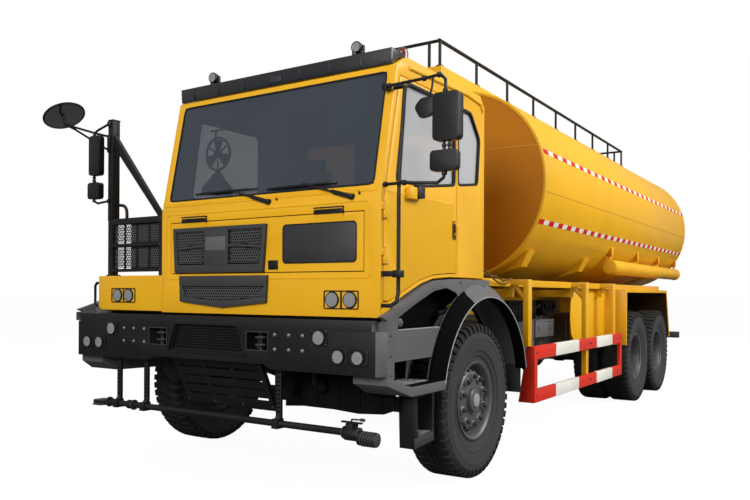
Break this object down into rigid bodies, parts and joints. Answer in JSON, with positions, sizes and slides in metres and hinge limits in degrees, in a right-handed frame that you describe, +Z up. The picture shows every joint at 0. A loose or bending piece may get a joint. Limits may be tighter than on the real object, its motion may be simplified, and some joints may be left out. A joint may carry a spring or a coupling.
{
  "type": "water tanker truck",
  "caption": "Off-highway rigid water tanker with an offset cab, twin-tyred tandem rear axles, an oval tank with a roof walkway, side guards, opening cab door, service lid and manhole",
  "frame": {"origin": "on the ground under the middle of the vehicle's length and width", "axes": "+X points to the front of the vehicle, +Y to its left, +Z up"},
  "size_m": [11.092, 4.5625, 4.5718],
  "materials": {
    "black_paint": "satin black",
    "cast_steel": "painted castings",
    "chassis_paint": "satin dark grey",
    "dash_plastic": "grained",
    "glass": "tinted",
    "grey_plastic": "moulded dark grey",
    "grille_plastic": "perforated dark grey",
    "guard_paint": "gloss red with white bands",
    "lamp_plastic": "clear lens",
    "rim_paint": "satin dark grey",
    "seat_fabric": "woven",
    "tyre_rubber": "black",
    "yellow_paint": "gloss yellow enamel"
  },
  "bodies": {
    "chassis": {"cab_glass": "glass", "cab_mounts": "chassis_paint", "cab_shell": "yellow_paint", "dashboard": "dash_plastic", "deck_box": "yellow_paint", "engine_block": "cast_steel", "front_axle": "cast_steel", "front_bumper": "black_paint", "front_grilles": "grille_plastic", "front_left_wing": "grey_plastic", "front_right_wing": "grey_plastic", "front_spray_bar": "black_paint", "front_steps": "black_paint", "grab_bars": "black_paint", "hand_rail": "black_paint", "ladder_frame": "chassis_paint", "lamps": "lamp_plastic", "leaf_springs": "chassis_paint", "mirror_mast": "black_paint", "mirrors": "black_paint", "rear_axles": "cast_steel", "rear_bumper": "chassis_paint", "rear_mudguards": "yellow_paint", "roof_visor": "black_paint", "seats": "seat_fabric", "side_beams": "yellow_paint", "side_guards": "guard_paint", "side_tanks": "black_paint", "skid_plate": "black_paint", "spray_tubes": "yellow_paint", "tank": "yellow_paint", "tank_saddles": "yellow_paint", "tank_subframe": "yellow_paint"},
    "steering_left": {"steering_knuckle_left": "cast_steel"},
    "steering_right": {"steering_knuckle_right": "cast_steel"},
    "front_wheel_left": {"front_left_tyre": "tyre_rubber", "front_left_rim": "rim_paint"},
    "front_wheel_right": {"front_right_tyre": "tyre_rubber", "front_right_rim": "rim_paint"},
    "cab_door": {"left_door": "yellow_paint", "left_door_glass": "glass"},
    "service_lid": {"front_lid": "yellow_paint", "lid_grille": "grille_plastic"},
    "tank_lid": {"manhole_lid": "yellow_paint"},
    "hand_wheel": {"steering_wheel": "dash_plastic"},
    "rear_1_wheels_left": {"rear_1_left_tyres": "tyre_rubber", "rear_1_left_rims": "rim_paint"},
    "rear_1_wheels_right": {"rear_1_right_tyres": "tyre_rubber", "rear_1_right_rims": "rim_paint"},
    "rear_2_wheels_left": {"rear_2_left_tyres": "tyre_rubber", "rear_2_left_rims": "rim_paint"},
    "rear_2_wheels_right": {"rear_2_right_tyres": "tyre_rubber", "rear_2_right_rims": "rim_paint"}
  },
  "joints": [
    {"name": "steer_left", "type": "hinge", "parent": "chassis", "child": "steering_left", "pos_m": [3.842, 1.3345, 0.685], "axis": [0, 0, 1], "range_deg": [-32, 32]},
    {"name": "steer_right", "type": "hinge", "parent": "chassis", "child": "steering_right", "pos_m": [3.842, -1.3345, 0.685], "axis": [0, 0, 1], "range_deg": [-32, 32]},
    {"name": "spin_front_left", "type": "hinge", "parent": "steering_left", "child": "front_wheel_left", "pos_m": [3.842, 1.5625, 0.685], "axis": [0, 1, 0], "continuous": true},
    {"name": "spin_front_right", "type": "hinge", "parent": "steering_right", "child": "front_wheel_right", "pos_m": [3.842, -1.5625, 0.685], "axis": [0, 1, 0], "continuous": true},
    {"name": "spin_rear_1_left", "type": "hinge", "parent": "chassis", "child": "rear_1_wheels_left", "pos_m": [-1.923, 1.3425, 0.685], "axis": [0, 1, 0], "continuous": true},
    {"name": "spin_rear_1_right", "type": "hinge", "parent": "chassis", "child": "rear_1_wheels_right", "pos_m": [-1.923, -1.3425, 0.685], "axis": [0, 1, 0], "continuous": true},
    {"name": "spin_rear_2_left", "type": "hinge", "parent": "chassis", "child": "rear_2_wheels_left", "pos_m": [-3.378, 1.3425, 0.685], "axis": [0, 1, 0], "continuous": true},
    {"name": "spin_rear_2_right", "type": "hinge", "parent": "chassis", "child": "rear_2_wheels_right", "pos_m": [-3.378, -1.3425, 0.685], "axis": [0, 1, 0], "continuous": true},
    {"name": "door_hinge", "type": "hinge", "parent": "chassis", "child": "cab_door", "pos_m": [5.372, 1.712, 2.05], "axis": [0, 0, -1], "range_deg": [0, 60]},
    {"name": "lid_hinge", "type": "hinge", "parent": "chassis", "child": "service_lid", "pos_m": [5.417, 0.5, 2.255], "axis": [0, -1, 0], "range_deg": [0, 85]},
    {"name": "manhole_hinge", "type": "hinge", "parent": "chassis", "child": "tank_lid", "pos_m": [-1.468, 0, 4.312], "axis": [0, -1, 0], "range_deg": [0, 110]},
    {"name": "hand_wheel_turn", "type": "hinge", "parent": "chassis", "child": "hand_wheel", "pos_m": [4.667, 0, 2.296], "axis": [1, 0, 0], "range_deg": [-495, 495]}
  ],
  "couplings": [
    {"joint": "steer_right", "follows": "steer_left", "ratio": 1},
    {"joint": "hand_wheel_turn", "follows": "steer_left", "ratio": -15}
  ]
}
